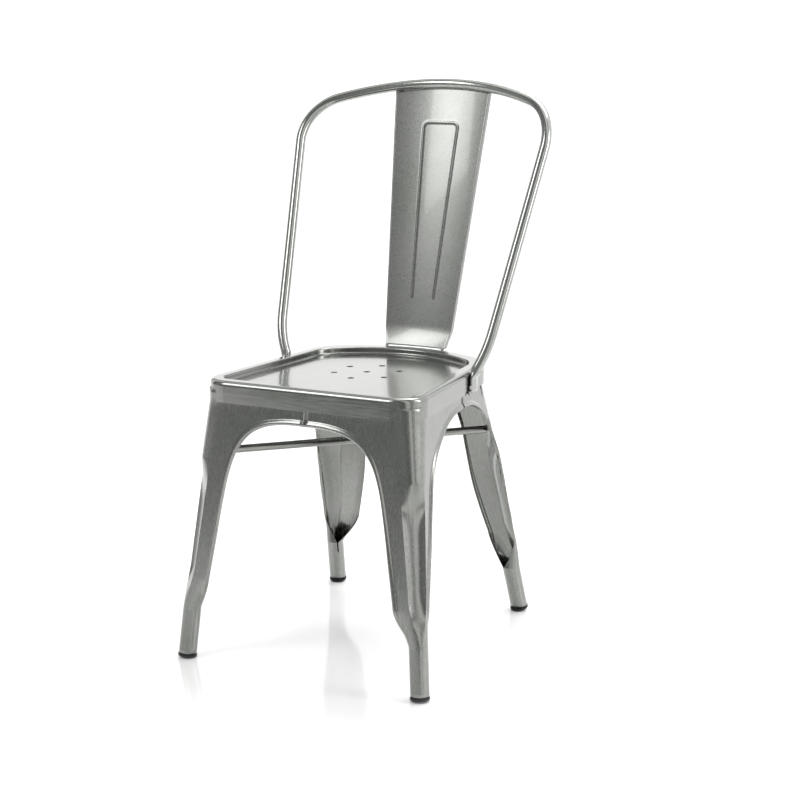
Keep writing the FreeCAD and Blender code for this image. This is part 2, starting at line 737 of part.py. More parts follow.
def back_splat():
    heights = [SPLAT_FOOT_Z + SPLAT_FOOT_RISE * k / 5 for k in range(6)] + [500, 600, 700, 850]
    sheet = Part.makeLoft([splat_wire(z) for z in heights], True, True)
    radius = CROWN_RADIUS - TUBE - FIT
    centre = CROWN_Z - CROWN_RADIUS
    x = 140.0
    z = centre + math.sqrt(radius * radius - x * x)
    above = Part.Wire([
        arc(V(-x, 100, z), V(0, 100, centre + radius), V(x, 100, z)),
        Part.makeLine(V(x, 100, z), V(x, 100, 950)),
        Part.makeLine(V(x, 100, 950), V(-x, 100, 950)),
        Part.makeLine(V(-x, 100, 950), V(-x, 100, z)),
    ])
    sheet = sheet.cut(Part.Face(above).extrude(V(0, 300, 0)))
    return sheet.fuse(rib())


# ---------------------------------------------------------------- braces and welds

def brace_end(rear, side, z):
    corner = rear_corner(z) if rear else front_corner(z)
    inward = V(-1, -1 if rear else 1, 0).normalize()
    point = corner + inward * BRACE_INSET
    return V(side * point.x, point.y, z)


def brace(side, z):
    """A round tube across the underside, from a front corner to the opposite rear one."""
    a = brace_end(False, side, z)
    b = brace_end(True, -side, z)
    length = (b - a).Length
    tube = Part.makeCylinder(BRACE_RADIUS, length, a, b - a)
    return tube.cut(Part.makeCylinder(BRACE_RADIUS - BRACE_WALL, length, a, b - a))


def bead(centre, rx, ry, rz):
    """A small lump of weld metal."""
    ball = Part.makeSphere(1.0)
    matrix = FreeCAD.Matrix()
    matrix.scale(rx, ry, rz)
    ball = ball.transformGeometry(matrix)
    ball.translate(centre)
    return ball


def both_sides(shapes):
    return Part.makeCompound(shapes + [mirrored(s) for s in shapes])


def brace_end_welds():
    """A fillet of weld round each end of both braces."""
    rings = []
    for side, z in ((-1, BRACE_Z), (1, BRACE_UPPER_Z)):
        for rear in (False, True):
            here = brace_end(rear, side if not rear else -side, z)
            there = brace_end(not rear, -side if not rear else side, z)
            inward = (there - here).normalize()
            rings.append(Part.makeCone(BRACE_RADIUS + 2.2, BRACE_RADIUS + 0.2, 2.6, here, inward)
                         .cut(Part.makeCylinder(BRACE_RADIUS, 10, here - inward * 2, inward)))
    return Part.makeCompound(rings)


def brace_cross_weld():
    """Two small beads where one brace rests on the other."""
    a, b = brace_end(False, -1, BRACE_Z), brace_end(True, 1, BRACE_Z)
    x = 0.0
    y = a.y + (b.y - a.y) * (x - a.x) / (b.x - a.x)
    z = BRACE_Z + BRACE_RADIUS
    return Part.makeCompound([bead(V(x - 5.5, y, z), 3.0, 2.0, 1.8), bead(V(x + 5.5, y, z), 3.0, 2.0, 1.8)])


def hoop_end_welds():
    """Beads that hold each flattened hoop end to the side of the skirt."""
    y = hoop_y(*HOOP_BOTTOM) - 1.5
    beads = []
    for offset, z in ((-HOOP_FLAT_WIDE - 0.5, 404.0), (HOOP_FLAT_WIDE + 0.5, 404.0), (-HOOP_FLAT_WIDE - 4, 396.0)):
        here = y + offset
        beads.append(bead(V(side_x(here) + 2.3, here, z), 2.2, 2.4, 3.4))
    beads.append(bead(V(side_x(y) + 3.2, y, HOOP_END_Z - 1.2), 2.6, 8.0, 2.0))
    return both_sides(beads)


def splat_foot_welds():
    """A bead at each lower corner of the splat, on the rim of the seat."""
    y = splat_y(SPLAT_FOOT_HALF, SPLAT_FOOT_Z)
    return both_sides([bead(V(SPLAT_FOOT_HALF - 3, y - 0.5, (RIM_TOP + SPLAT_FOOT_Z) / 2 + 0.3), 3.2, 2.2, 1.9)])


def splat_top_welds():
    """A bead at each upper corner of the splat, under the hoop."""
    x = 76.0
    z = CROWN_Z - CROWN_RADIUS + math.sqrt((CROWN_RADIUS - TUBE) ** 2 - x * x)
    return both_sides([bead(V(x, splat_y(x, z) + 3.0, z - 0.6), 4.0, 1.8, 1.8)])


def main():
    os.makedirs("parts", exist_ok=True)
    save("seat_pan", seat_pan())
    front = leg(False)
    rear = leg(True)
    save("leg_front_right", front)
    save("leg_front_left", mirrored(front))
    save("leg_rear_right", rear)
    save("leg_rear_left", mirrored(rear))
    for name, is_rear in (("front", False), ("rear", True)):
        plug = foot_plug(is_rear)
        save("foot_plug_" + name + "_right", plug)
        save("foot_plug_" + name + "_left", mirrored(plug))
    save("back_hoop", back_hoop())
    save("back_splat", back_splat())
    save("brace_lower", brace(-1, BRACE_Z))
    save("brace_upper", brace(1, BRACE_UPPER_Z))
    save("brace_end_welds", brace_end_welds())
    save("brace_cross_weld", brace_cross_weld())
    save("hoop_end_welds", hoop_end_welds())
    save("splat_foot_welds", splat_foot_welds())
    save("splat_top_welds", splat_top_welds())


main()
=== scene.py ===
import bpy
import math
import json
from mathutils import Matrix, Vector


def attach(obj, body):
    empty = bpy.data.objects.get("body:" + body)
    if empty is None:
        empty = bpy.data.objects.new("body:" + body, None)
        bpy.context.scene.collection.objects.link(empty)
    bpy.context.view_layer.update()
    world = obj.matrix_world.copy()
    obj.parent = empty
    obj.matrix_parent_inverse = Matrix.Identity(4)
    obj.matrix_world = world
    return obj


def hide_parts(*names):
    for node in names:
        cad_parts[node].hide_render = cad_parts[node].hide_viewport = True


# A stacking chair in clear-lacquered brushed steel. Lengths in the drawing functions are millimetres,
# about the middle of the wheelbase, and are moved and scaled to the row frame when a mesh is made. The
# legs, the hoop and the splat are drawn here, and stand for their CAD nodes. The other nodes are shown.

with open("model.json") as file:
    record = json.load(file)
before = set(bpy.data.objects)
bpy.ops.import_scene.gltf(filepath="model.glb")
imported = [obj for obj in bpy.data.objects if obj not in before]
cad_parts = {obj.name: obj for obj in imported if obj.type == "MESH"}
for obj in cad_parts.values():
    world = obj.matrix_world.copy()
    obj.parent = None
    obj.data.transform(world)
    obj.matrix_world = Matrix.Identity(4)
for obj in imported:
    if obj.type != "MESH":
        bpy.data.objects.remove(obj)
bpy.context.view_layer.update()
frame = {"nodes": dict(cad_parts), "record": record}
nodes = frame["nodes"]

SHIFT = -35.7             # from the middle of the wheelbase to the middle of the bounding box
SHEET = 1.2               # thickness of the pressed sheet
MM = 0.001

# ---------------------------------------------------------------- camera, floor and light
CAMERA_AT = (1.24913, -2.30916, 0.95983)
CAMERA_TURN = 27.57       # degrees, to the right of straight in front
CAMERA_DOWN = 12.68
CAMERA_ROLL = -0.54
CAMERA_LENS = 78.19
FLOOR_NEAR, FLOOR_FAR, FLOOR_WIDE = -1.05, 14, 9
WORLD_TURN = 27.6         # the studio is dimmest to the front left, and bright behind the chair
WORLD_STRENGTH = 1.35
WORLD_BANDS = [(0.0, (0.26, 0.265, 0.265)), (0.12, (0.32, 0.325, 0.325)), (0.22, (0.2, 0.205, 0.205)),
               (0.31, (0.2, 0.203, 0.2)), (0.37, (1.0, 1.0, 0.98)), (0.48, (1.0, 1.0, 0.98)),
               (0.52, (0.26, 0.26, 0.26)), (0.6, (0.5, 0.5, 0.5)), (0.66, (1.0, 1.0, 1.0))]


def make_camera():
    data = bpy.data.cameras.new("camera")
    data.lens = CAMERA_LENS
    data.sensor_width = 36.0
    camera = bpy.data.objects.new("camera", data)
    bpy.context.scene.collection.objects.link(camera)
    turn, down, roll = (math.radians(v) for v in (CAMERA_TURN, CAMERA_DOWN, CAMERA_ROLL))
    rotation = Matrix.Rotation(turn, 3, "Z") @ Matrix.Rotation(math.pi / 2 - down, 3, "X")
    rotation = rotation @ Matrix.Rotation(roll, 3, "Z")
    camera.matrix_world = Matrix.Translation(CAMERA_AT) @ rotation.to_4x4()
    bpy.context.scene.camera = camera


def panel_light(name, place, aim, size, power):
    data = bpy.data.lights.new(name, "AREA")
    data.shape = "RECTANGLE"
    data.size, data.size_y = size
    data.energy = power
    lamp = bpy.data.objects.new(name, data)
    lamp.location = place
    lamp.rotation_euler = (Vector(aim) - Vector(place)).to_track_quat("-Z", "Y").to_euler()
    bpy.context.scene.collection.objects.link(lamp)


class Nodes:
    """Adds nodes to a tree, with their properties or inputs set by name, and links them."""

    def __init__(self, tree):
        self.tree = tree

    def add(self, kind, **values):
        node = self.tree.nodes.new(kind)
        for key, value in values.items():
            if hasattr(node, key):
                setattr(node, key, value)
            else:
                node.inputs[key.replace("_", " ")].default_value = value
        return node

    def link(self, source, output, target, socket):
        self.tree.links.new(source.outputs[output], target.inputs[socket])


def ramp_node(n, stops):
    """A colour ramp with the given positions and colours."""
    node = n.add("ShaderNodeValToRGB")
    ramp = node.color_ramp
    while len(ramp.elements) < len(stops):
        ramp.elements.new(0.5)
    for element, (at, colour) in zip(ramp.elements, stops):
        element.position = at
        element.color = (*colour, 1)
    return node


def make_world():
    world = bpy.data.worlds.new("studio")
    bpy.context.scene.world = world
    world.use_nodes = True
    n = Nodes(world.node_tree)
    back = world.node_tree.nodes["Background"]
    coord = n.add("ShaderNodeTexCoord")
    turn = n.add("ShaderNodeMapping")
    turn.inputs["Rotation"].default_value = (0, 0, math.radians(WORLD_TURN))
    split = n.add("ShaderNodeSeparateXYZ")
    place = n.add("ShaderNodeMapRange", From_Min=-1.0, From_Max=1.0)
    ramp = ramp_node(n, WORLD_BANDS)
    n.link(coord, "Generated", turn, "Vector")
    n.link(turn, "Vector", split, 0)
    n.link(split, "Y", place, "Value")
    n.link(place, "Result", ramp, "Fac")
    n.link(ramp, "Color", back, "Color")
    back.inputs["Strength"].default_value = WORLD_STRENGTH
    bpy.context.scene.view_settings.view_transform = "Standard"


def make_floor():
    """A white glossy sheet that starts just in front of the chair, squared up with the camera."""
    turn = math.radians(CAMERA_TURN)
    ahead = Vector((-math.sin(turn), math.cos(turn), 0))
    aside = Vector((ahead.y, -ahead.x, 0))
    outline = ((FLOOR_NEAR, -FLOOR_WIDE), (FLOOR_NEAR, FLOOR_WIDE),
               (FLOOR_FAR, FLOOR_WIDE), (FLOOR_FAR, -FLOOR_WIDE))
    corners = [ahead * along + aside * across for along, across in outline]
    mesh = bpy.data.meshes.new("floor")
    mesh.from_pydata([tuple(c) for c in corners], [], [(0, 1, 2, 3)])
    floor = bpy.data.objects.new("floor", mesh)
    bpy.context.scene.collection.objects.link(floor)
    material = bpy.data.materials.new("floor_white")
    material.use_nodes = True
    n = Nodes(material.node_tree)
    shader = material.node_tree.nodes["Principled BSDF"]
    coord = n.add("ShaderNodeTexCoord")
    noise = n.add("ShaderNodeTexNoise", Scale=3.0, Detail=4.0)
    tint = ramp_node(n, [(0.0, (0.955, 0.955, 0.955)), (1.0, (0.985, 0.985, 0.985))])
    n.link(coord, "Object", noise, "Vector")
    n.link(noise, "Fac", tint, "Fac")
    n.link(tint, "Color", shader, "Base Color")
    n.link(tint, "Color", shader, "Emission Color")
    shader.inputs["Emission Strength"].default_value = 0.06
    shader.inputs["Roughness"].default_value = 0.1
    shader.inputs["Specular IOR Level"].default_value = 0.6
    mesh.materials.append(material)


make_camera()
make_world()
make_floor()
panel_light("key", (-1.6, -2.2, 2.6), (0, 0, 0.5), (1.2, 1.8), 34)
panel_light("side", (2.6, 0.4, 1.6), (0, 0, 0.5), (0.7, 2.0), 20)
panel_light("top", (0.1, 0.9, 2.6), (0, 0, 0.4), (1.6, 0.9), 26)


# ---------------------------------------------------------------- materials

MIX_COLOUR_A, MIX_COLOUR_B, MIX_RESULT = 6, 7, 2      # the colour sockets of Blender's Mix node


def steel(name, dark, light, grain, rough, strength):
    """Brushed steel under clear lacquer, with fine streaks along the axis of the grain's smallest scale."""
    material = bpy.data.materials.new(name)
    material.use_nodes = True
    n = Nodes(material.node_tree)
    shader = material.node_tree.nodes["Principled BSDF"]
    coord = n.add("ShaderNodeTexCoord")
    stretch = n.add("ShaderNodeMapping")
    stretch.inputs["Scale"].default_value = grain
    n.link(coord, "Object", stretch, "Vector")
    streaks = n.add("ShaderNodeTexNoise", Scale=1.0, Detail=7.0, Roughness=0.68)
    n.link(stretch, "Vector", streaks, "Vector")
    clouds = n.add("ShaderNodeTexNoise", Scale=9.0, Detail=5.0, Roughness=0.6)
    n.link(coord, "Object", clouds, "Vector")
    middle = tuple((a + b) / 2 for a, b in zip(dark, light))
    colour = ramp_node(n, [(0.3, dark), (0.52, middle), (0.72, light)])
    n.link(streaks, "Fac", colour, "Fac")
    stain = ramp_node(n, [(0.35, (0.86, 0.88, 0.85)), (0.65, (1.0, 1.0, 1.0))])
    n.link(clouds, "Fac", stain, "Fac")
    both = n.add("ShaderNodeMix", data_type="RGBA", blend_type="MULTIPLY")
    both.inputs[0].default_value = 1.0
    n.link(colour, "Color", both, MIX_COLOUR_A)
    n.link(stain, "Color", both, MIX_COLOUR_B)
    n.link(both, MIX_RESULT, shader, "Base Color")
    gloss = n.add("ShaderNodeMapRange", From_Min=0.3, From_Max=0.7, To_Min=rough[0], To_Max=rough[1])
    n.link(streaks, "Fac", gloss, "Value")
    n.link(gloss, "Result", shader, "Roughness")
    bump = n.add("ShaderNodeBump", Strength=strength, Distance=0.0004)
    n.link(streaks, "Fac", bump, "Height")
    n.link(bump, "Normal", shader, "Normal")
    shader.inputs["Metallic"].default_value = 1.0
    shader.inputs["Coat Weight"].default_value = 0.7
    shader.inputs["Coat Roughness"].default_value = 0.07
    shader.inputs["Coat IOR"].default_value = 1.5
    return material


def rubber():
    """Black moulded rubber with a fine, slightly rough surface."""
    material = bpy.data.materials.new("foot_rubber_look")
    material.use_nodes = True
    n = Nodes(material.node_tree)
    shader = material.node_tree.nodes["Principled BSDF"]
    coord = n.add("ShaderNodeTexCoord")
    noise = n.add("ShaderNodeTexNoise", Scale=900.0, Detail=4.0, Roughness=0.6)
    n.link(coord, "Object", noise, "Vector")
    colour = ramp_node(n, [(0.35, (0.008, 0.008, 0.009)), (0.7, (0.022, 0.022, 0.024))])
    n.link(noise, "Fac", colour, "Fac")
    n.link(colour, "Color", shader, "Base Color")
    gloss = n.add("ShaderNodeMapRange", From_Min=0.3, From_Max=0.7, To_Min=0.42, To_Max=0.6)
    n.link(noise, "Fac", gloss, "Value")
    n.link(gloss, "Result", shader, "Roughness")
    bump = n.add("ShaderNodeBump", Strength=0.25, Distance=0.0003)
    n.link(noise, "Fac", bump, "Height")
    n.link(bump, "Normal", shader, "Normal")
    return material


DARK = (0.2, 0.203, 0.193)
LIGHT = (0.33, 0.334, 0.32)
TUBE_DARK, TUBE_LIGHT = (0.33, 0.335, 0.32), (0.42, 0.425, 0.41)
SPLAT_DARK = (0.19, 0.193, 0.184)
WELD_DARK, WELD_LIGHT = (0.2, 0.2, 0.2), (0.55, 0.55, 0.53)
FINISH = {
    "seat_steel": steel("seat_steel_look", DARK, LIGHT, (25, 900, 400), (0.16, 0.24), 0.02),
    "leg_steel": steel("leg_steel_look", DARK, LIGHT, (900, 900, 14), (0.2, 0.3), 0.02),
    "tube_steel": steel("tube_steel_look", TUBE_DARK, TUBE_LIGHT, (300, 300, 60), (0.16, 0.22), 0.01),
    "splat_steel": steel("splat_steel_look", SPLAT_DARK, LIGHT, (1100, 1100, 12), (0.24, 0.36), 0.03),
    "brace_steel": steel("brace_steel_look", DARK, LIGHT, (60, 60, 700), (0.2, 0.28), 0.01),
    "weld_steel": steel("weld_steel_look", WELD_DARK, WELD_LIGHT, (600, 600, 600), (0.25, 0.45), 0.4),
    "foot_rubber": rubber(),
}
SLOT_OF = {part["node"]: part["material_slot"] for part in frame["record"]["subparts"]}

for name, node in nodes.items():
    look = FINISH[SLOT_OF[name]]
    if not node.material_slots:
        node.data.materials.append(look)
    for place in node.material_slots:
        place.material = look
    even = node.modifiers.new("even shading", "WEIGHTED_NORMAL")
    even.keep_sharp = True


# ---------------------------------------------------------------- shared drawing

def mix(a, b, t):
    return a + (b - a) * t


def smooth(t):
    t = max(0.0, min(1.0, t))
    return t * t * (3 - 2 * t)


def piece(name, points, faces, slot_name, replaced, thickness):
    """A sheet in the row frame that stands for a CAD node. It is thickened inwards from its outside face."""
    mesh = bpy.data.meshes.new(name)
    mesh.from_pydata([(p[0] * MM, (p[1] + SHIFT) * MM, p[2] * MM) for p in points], [], faces)
    mesh.validate()
    mesh.materials.append(FINISH[slot_name])
    for face in mesh.polygons:
        face.use_smooth = True
    made = bpy.data.objects.new(name, mesh)
    bpy.context.scene.collection.objects.link(made)
    shell = made.modifiers.new("sheet", "SOLIDIFY")
    shell.thickness = thickness * MM
    shell.offset = -1.0
    shell.use_even_offset = False
    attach(made, "root")
    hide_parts(replaced)
    return made


def grid_faces(rows, columns):
    """Quads over a grid of points stored row after row."""
    faces = []
    for i in range(rows - 1):
        for j in range(columns - 1):
            a = i * columns + j
            faces.append((a, a + 1, a + columns + 1, a + columns))
    return faces


class Curve:
    """A smooth curve through points in a plane, addressed by its share of arc length or by height."""

    def __init__(self, points):
        self.dense = []
        first, second = points[0], points[1]
        last, before = points[-1], points[-2]
        lead = (2 * first[0] - second[0], second[1])
        tail = (2 * last[0] - before[0], 2 * last[1] - before[1])
        full = [lead] + points + [tail]
        for i in range(1, len(full) - 2):
            for k in range(16):
                self.dense.append(self.bend(full[i - 1:i + 3], k / 16))
        self.dense.append(points[-1])
        self.lengths = [0.0]
        for p, q in zip(self.dense, self.dense[1:]):
            self.lengths.append(self.lengths[-1] + math.dist(p, q))

    @staticmethod
    def bend(four, t):
        """A centripetal curve between the middle two of four points."""
        p0, p1, p2, p3 = (Vector(p) for p in four)
        k1 = max(1e-6, (p1 - p0).length ** 0.5)
        k2 = k1 + max(1e-6, (p2 - p1).length ** 0.5)
        k3 = k2 + max(1e-6, (p3 - p2).length ** 0.5)
        u = mix(k1, k2, t)
        a1 = p0 * ((k1 - u) / k1) + p1 * (u / k1)
        a2 = p1 * ((k2 - u) / (k2 - k1)) + p2 * ((u - k1) / (k2 - k1))
        a3 = p2 * ((k3 - u) / (k3 - k2)) + p3 * ((u - k2) / (k3 - k2))
        b1 = a1 * ((k2 - u) / k2) + a2 * (u / k2)
        b2 = a2 * ((k3 - u) / (k3 - k1)) + a3 * ((u - k1) / (k3 - k1))
        c = b1 * ((k2 - u) / (k2 - k1)) + b2 * ((u - k1) / (k2 - k1))
        return (c.x, c.y)

    def at(self, share):
        goal = share * self.lengths[-1]
        for i in range(1, len(self.lengths)):
            if self.lengths[i] >= goal:
                step = self.lengths[i] - self.lengths[i - 1]
                t = (goal - self.lengths[i - 1]) / step if step else 0.0
                a, b = self.dense[i - 1], self.dense[i]
                return mix(a[0], b[0], t), mix(a[1], b[1], t)
        return self.dense[-1]

    def share_at_height(self, z):
        for i in range(1, len(self.dense)):
            a, b = self.dense[i - 1], self.dense[i]
            if b[1] <= z:
                t = (a[1] - z) / (a[1] - b[1]) if a[1] != b[1] else 0.0
                return mix(self.lengths[i - 1], self.lengths[i], t) / self.lengths[-1]
        return 1.0


# ---------------------------------------------------------------- legs

SKIRT_BOTTOM = 396.0
LEG_TOP = 414.0
INSET = 1.3
SEAT_FRONT, SEAT_REAR = -179.5, 179.5
SIDE_X, SIDE_TAPER, REAR_RADIUS = 182.0, 0.1, 240.0
FRONT_FLARE, FRONT_SPLAY = 0.1157, 0.0712
REAR_FLARE, REAR_SPLAY = 0.2545, 0.0885
REAR_SAG_FADE = 140.0
SEAM_Y = 10.0
SHOULDER_TOP, SHOULDER_END, SHOULDER_CURL = 130.0, 77.0, 1.6
FLUTE_TOP, FLUTE_FULL, FLUTE_THIN, FLUTE_TIP = 310.0, 275.0, 140.0, 84.0
FLUTE_HOLLOW = 4.0
TUBE_RADIUS = 14.0
SLOT, SLOT_END = 1.2, 57.0            # half width of the slot in each tube, and the height where it ends
CORNER_SHARE = 0.25       # the part of the tube's girth that comes from the rounded corner
TOP_STEPS = 14            # rows of a web that start on its top edge, before those that start on the corner
SHOULDER_STEPS = 30
TUBE_HEIGHTS = (76.2, 72, 66, 61, 60, 59, 58, 57, 50, 38, 26, 14, 5.6)    # closest where the slot ends
ARCHES = {                # for the front and rear legs: the end arch as x, z and the side arch as y, z
    False: (
        [(0, 373), (38, 372), (68, 366), (93, 352.5), (112, 329), (125, 296), (135, 249), (145, 188),
         (155, 130)],
        [(10, 376), (-34, 373), (-62, 365), (-88, 350), (-112, 331), (-131, 305), (-144, 265), (-158, 210),
         (-170, 170), (-181.5, 130)],
    ),
    True: (
        [(0, 373), (25, 372), (52, 362), (72, 341), (84, 312), (90, 275), (98, 216), (107, 175), (119, 130)],
        [(10, 376), (42, 374), (75, 362), (100, 340), (121, 310), (136, 277), (151, 216), (161, 175),
         (173.5, 130)],
    ),
}
FEET = {False: (198.7, -208.9), True: (170.4, 208.9)}
ARCH_TURN = {False: (352.5, 350.0), True: (341.0, 340.0)}     # heights where the arches turn down the legs
BEAD = 10.0               # width of the rolled edge
BEAD_CREST = 4.2
BEAD_RISE = 3.0
BEAD_EDGE = 5.0           # how far the rolled edge turns back behind its crest
BEAD_STEPS = (0.0, 0.25, 0.7, 1.4, 2.3, 3.3, 4.2, 5.2, 6.3, 7.4, 8.4, 9.3, 10.0, 10.8)
WEB_STEPS = 6
CORNER_WEIGHT = math.sqrt(0.5)        # makes the rounded corner close to a circular arc
CORNER_AT_SKIRT, CORNER_AT_FLUTE, CORNER_AT_SHOULDER = 38.7, 30.0, 21.0
SIDE_REACH, REAR_SIDE_REACH = 0.88, 0.6
NO_GROOVE = 0.02
FULL_GROOVE = 0.97
GROOVE_FADE = 75.0        # the groove reaches its full depth over this height at both its ends


def side_line(y):
    return SIDE_X - SIDE_TAPER * (y - SEAT_FRONT)


def drop(z):
    return max(0.0, SKIRT_BOTTOM - z)


def bowed(x, rear, radius):
    return rear - radius + math.sqrt(radius * radius - x * x)


def rear_top():
    y = 0.0
    for _ in range(60):
        x = side_line(y) - INSET
        y = mix(y, bowed(x, SEAT_REAR - INSET, REAR_RADIUS - INSET), 0.5)
    return x, y


REAR_X, REAR_Y = rear_top()
REAR_SAG = SEAT_REAR - INSET - REAR_Y


def corner(z, rear):
    h = drop(z)
    if rear:
        return Vector((REAR_X + REAR_SPLAY * h, REAR_Y + REAR_FLARE * h, z))
    y = SEAT_FRONT + INSET - FRONT_FLARE * h
    return Vector((side_line(y) - INSET + FRONT_SPLAY * h, y, z))


def web_end(x, z, rear):
    """The end web's surface over a point seen from the front."""
    c = corner(z, rear)
    if not rear:
        return Vector((x, c.y, z))
    sag = REAR_SAG * math.exp(-drop(z) / REAR_SAG_FADE)
    radius = (c.x ** 2 + sag ** 2) / (2 * sag)
    return Vector((x, c.y + sag - radius + math.sqrt(radius * radius - x * x), z))


def web_side(y, z, rear):
    c = corner(z, rear)
    return Vector((c.x - SIDE_TAPER * (y - c.y), y, z))


def reach(z):
    """From the sharp corner to where its rounding starts, on the end web."""
    if z > FLUTE_TOP:
        share = (min(z, SKIRT_BOTTOM) - FLUTE_TOP) / (SKIRT_BOTTOM - FLUTE_TOP)
        return mix(CORNER_AT_FLUTE, CORNER_AT_SKIRT, share)
    share = (max(z, SHOULDER_TOP) - SHOULDER_TOP) / (FLUTE_TOP - SHOULDER_TOP)
    return mix(CORNER_AT_SHOULDER, CORNER_AT_FLUTE, share)


def side_reach(z, rear):
    share = min(1.0, drop(z) / (SKIRT_BOTTOM - SHOULDER_TOP))
    return reach(z) * (mix(SIDE_REACH, REAR_SIDE_REACH, share) if rear else SIDE_REACH)


def groove(z):
    """How wide the groove is, as a share of the rounded corner."""
    if z >= FLUTE_TOP or z <= FLUTE_TIP:
        return NO_GROOVE
    if z > FLUTE_FULL:
        rise = (z - FLUTE_FULL) / (FLUTE_TOP - FLUTE_FULL)
        return max(NO_GROOVE, FULL_GROOVE * math.sqrt(max(0.0, 1 - rise * rise)))
    fall = min(1.0, (z - FLUTE_TIP) / (FLUTE_THIN - FLUTE_TIP))
    return max(NO_GROOVE, FULL_GROOVE * fall ** 0.55)


def groove_depth(z):
    """How deep the groove is, as a share of its full depth."""
    return smooth((FLUTE_TOP + 1 - z) / GROOVE_FADE) * smooth((z - FLUTE_TIP + 2) / GROOVE_FADE)


def corner_columns(z):
    """Positions across the corner: beside, across and beside the groove, closer together at its rims."""
    w = groove(z)
    low, high = 0.5 - w / 2, 0.5 + w / 2
    outside = [low * k for k in (0.0, 0.3, 0.6, 0.85, 0.97)]
    inside = [mix(low, high, k) for k in
              (0.0, 0.015, 0.04, 0.09, 0.17, 0.27, 0.38, 0.5, 0.62, 0.73, 0.83, 0.91, 0.96, 0.985, 1.0)]
    beyond = [mix(high, 1.0, k) for k in (0.03, 0.15, 0.4, 0.7, 1.0)]
    return outside + inside + beyond, w


def bent(a, c, b, t):
    """A point on the rounded corner from a to b, with the sharp corner at c."""
    k0, k1, k2 = (1 - t) ** 2, 2 * CORNER_WEIGHT * t * (1 - t), t * t
    return (a * k0 + c * k1 + b * k2) / (k0 + k1 + k2)


def corner_point(a, c, b, t, w):
    """A point on the rounded corner from a to b, pressed in where the groove runs."""
    round_out = bent(a, c, b, t)
    s = (t - 0.5) / w + 0.5
    if s <= 0 or s >= 1 or w < 0.03:
        return round_out
    bulge = bent(a, c, b, s) - (a * (1 - s) + b * s)
    inward = ((a + b) * 0.5 - c).normalized()
    deep = groove_depth(c.z)
    depth = bulge.length * mix(0.35 * w, 1.0, deep) + FLUTE_HOLLOW * deep * 4 * s * (1 - s)
    return round_out + inward * depth * w


def rolled(d):
    """How far the rolled edge stands out of the web, at a distance from the edge."""
    if d >= BEAD:
        return 0.0
    if d < BEAD_CREST:
        return BEAD_RISE - BEAD_EDGE * (1 - d / BEAD_CREST) ** 2.2
    return BEAD_RISE * math.cos(math.pi / 2 * (d - BEAD_CREST) / (BEAD - BEAD_CREST)) ** 1.15


def web_columns(length):
    """Distances from the arch's edge to the corner, with the share each column has of the bead's profile."""
    scale = min(1.0, length / 13.0)
    columns = [(d * scale, rolled(d) * scale) for d in BEAD_STEPS]
    start = BEAD_STEPS[-1] * scale
    return columns + [(mix(start, length, k / WEB_STEPS), 0.0) for k in range(1, WEB_STEPS + 1)]


def corner_heights():
    """Heights of the rows down the corner, closest together round the top of the groove."""
    above, below = FLUTE_TOP + 4, FLUTE_TOP - 4
    bands = ((LEG_TOP, SKIRT_BOTTOM, 3), (SKIRT_BOTTOM, above, 9), (above, below, 8),
             (below, FLUTE_FULL - 5, 16), (FLUTE_FULL - 5, SHOULDER_TOP + 15, 18),
             (SHOULDER_TOP + 15, SHOULDER_TOP, 4))
    heights = []
    for high, low, count in bands:
        heights += [mix(high, low, k / count) for k in range(count)]
    return heights + [SHOULDER_TOP]


def web_patch(rear, end):
    """Rows of points from the arch's edge to the corner or the top, first along the top and then down."""
    curve = Curve(ARCHES[rear][0 if end else 1])
    turn = curve.share_at_height(ARCH_TURN[rear][0 if end else 1])
    turn_z = curve.at(turn)[1]
    sign = 1 if rear else -1
    outward = Vector((0, sign, 0)) if end else Vector((1, 0, 0))
    surface = web_end if end else web_side
    heights = corner_heights()
    rows = []
    for k in range(TOP_STEPS + len(heights)):
        if k < TOP_STEPS:
            share = turn * k / TOP_STEPS
            z = LEG_TOP
        else:
            z = heights[k - TOP_STEPS]
            fall = (LEG_TOP - z) / (LEG_TOP - SHOULDER_TOP)
            share = curve.share_at_height(mix(turn_z, SHOULDER_TOP, fall))
        inner = Vector(curve.at(share))
        c = corner(z, rear)
        if end:
            far = c.x - reach(z)
            outer_flat = far if k >= TOP_STEPS else mix(0.0, far, k / TOP_STEPS)
        else:
            far = c.y - sign * side_reach(z, rear)
            outer_flat = far if k >= TOP_STEPS else mix(SEAM_Y, far, k / TOP_STEPS)
        outer = Vector((outer_flat, z))
        length = (outer - inner).length
        row = []
        for d, lift in web_columns(length):
            flat = inner + (outer - inner) * (d / length)
            row.append(surface(flat.x, flat.y, rear) + outward * lift)
        rows.append(row)
    return rows


def foot_centre(z, rear):
    x, y = FEET[rear]
    step = (corner(100, rear) - corner(0, rear)) / 100
    return Vector((x + step.x * z, y + step.y * z, z))


def round_point(z, rear, share):
    """A point round the tube, from one side of its slot to the other. The slot closes at its lower end."""
    gap = SLOT / TUBE_RADIUS * smooth((z - SLOT_END) / 4)
    turn = mix(gap, 2 * math.pi - gap, share)
    angle = math.radians(225) - turn if rear else math.radians(135) + turn
    return foot_centre(z, rear) + Vector((math.cos(angle), math.sin(angle), 0)) * TUBE_RADIUS


